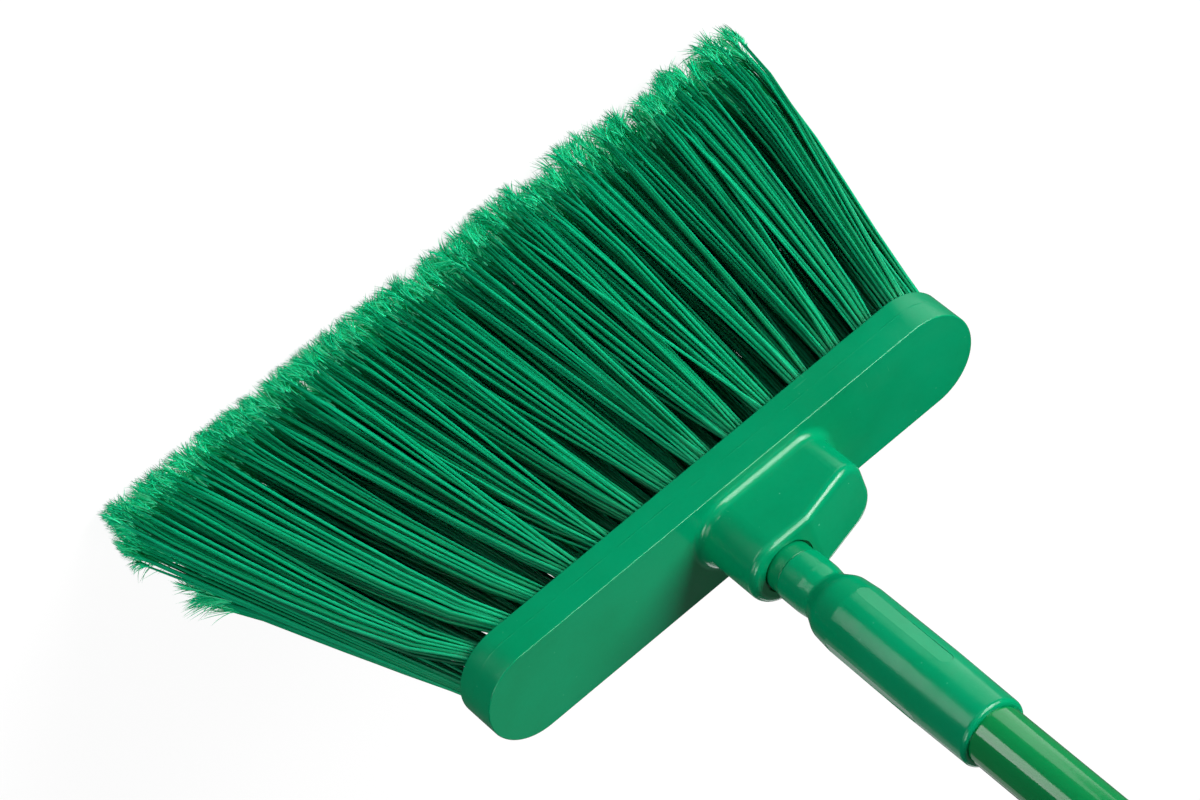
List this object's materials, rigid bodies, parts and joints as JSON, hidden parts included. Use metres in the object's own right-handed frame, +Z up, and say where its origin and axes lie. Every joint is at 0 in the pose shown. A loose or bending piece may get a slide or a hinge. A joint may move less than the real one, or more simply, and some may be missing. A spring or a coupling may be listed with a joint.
{
  "type": "angle broom",
  "caption": "Upright angle broom: round-ended block with a two-way boss, staggered bristle tufts in a slanted fan, and a tube handle that screws in and ends in a hang cap.",
  "frame": {"origin": "on the floor, under the middle of the bristle tips' reach", "axes": "+Z up along the handle, X along the block with the longest bristles at +X and the boss's sloping face towards -X, front towards -Y"},
  "size_m": [0.3289, 0.045, 1.422],
  "materials": {
    "block_plastic": "satin moulded",
    "tip_plastic": "satin moulded",
    "tube_coat": "glossy coat",
    "bristle": "drawn filament",
    "staple_wire": "drawn wire"
  },
  "bodies": {
    "head": {"broom_block": "block_plastic", "tuft_anchors": "staple_wire", "tuft_front_01": "bristle", "tuft_front_02": "bristle", "tuft_front_03": "bristle", "tuft_front_04": "bristle", "tuft_front_05": "bristle", "tuft_front_06": "bristle", "tuft_front_07": "bristle", "tuft_front_08": "bristle", "tuft_front_09": "bristle", "tuft_front_10": "bristle", "tuft_front_11": "bristle", "tuft_front_12": "bristle", "tuft_front_13": "bristle", "tuft_front_14": "bristle", "tuft_middle_01": "bristle", "tuft_middle_02": "bristle", "tuft_middle_03": "bristle", "tuft_middle_04": "bristle", "tuft_middle_05": "bristle", "tuft_middle_06": "bristle", "tuft_middle_07": "bristle", "tuft_middle_08": "bristle", "tuft_middle_09": "bristle", "tuft_middle_10": "bristle", "tuft_middle_11": "bristle", "tuft_middle_12": "bristle", "tuft_middle_13": "bristle", "tuft_middle_14": "bristle", "tuft_middle_15": "bristle", "tuft_back_01": "bristle", "tuft_back_02": "bristle", "tuft_back_03": "bristle", "tuft_back_04": "bristle", "tuft_back_05": "bristle", "tuft_back_06": "bristle", "tuft_back_07": "bristle", "tuft_back_08": "bristle", "tuft_back_09": "bristle", "tuft_back_10": "bristle", "tuft_back_11": "bristle", "tuft_back_12": "bristle", "tuft_back_13": "bristle", "tuft_back_14": "bristle"},
    "collar": {"tip_collar": "tip_plastic"},
    "handle": {"handle_tip": "tip_plastic", "handle_tube": "tube_coat", "hang_cap": "tip_plastic"}
  },
  "joints": [
    {"name": "handle_lift", "type": "slide", "parent": "head", "child": "collar", "axis": [0, 0, 1], "range_m": [0, 0.0203]},
    {"name": "handle_turn", "type": "hinge", "parent": "collar", "child": "handle", "pos_m": [-0.009, 0, 0.227], "axis": [0, 0, 1], "range_deg": [0, 1440]}
  ],
  "couplings": [
    {"joint": "handle_turn", "follows": "handle_lift", "rad_per_m": 1236.8}
  ]
}
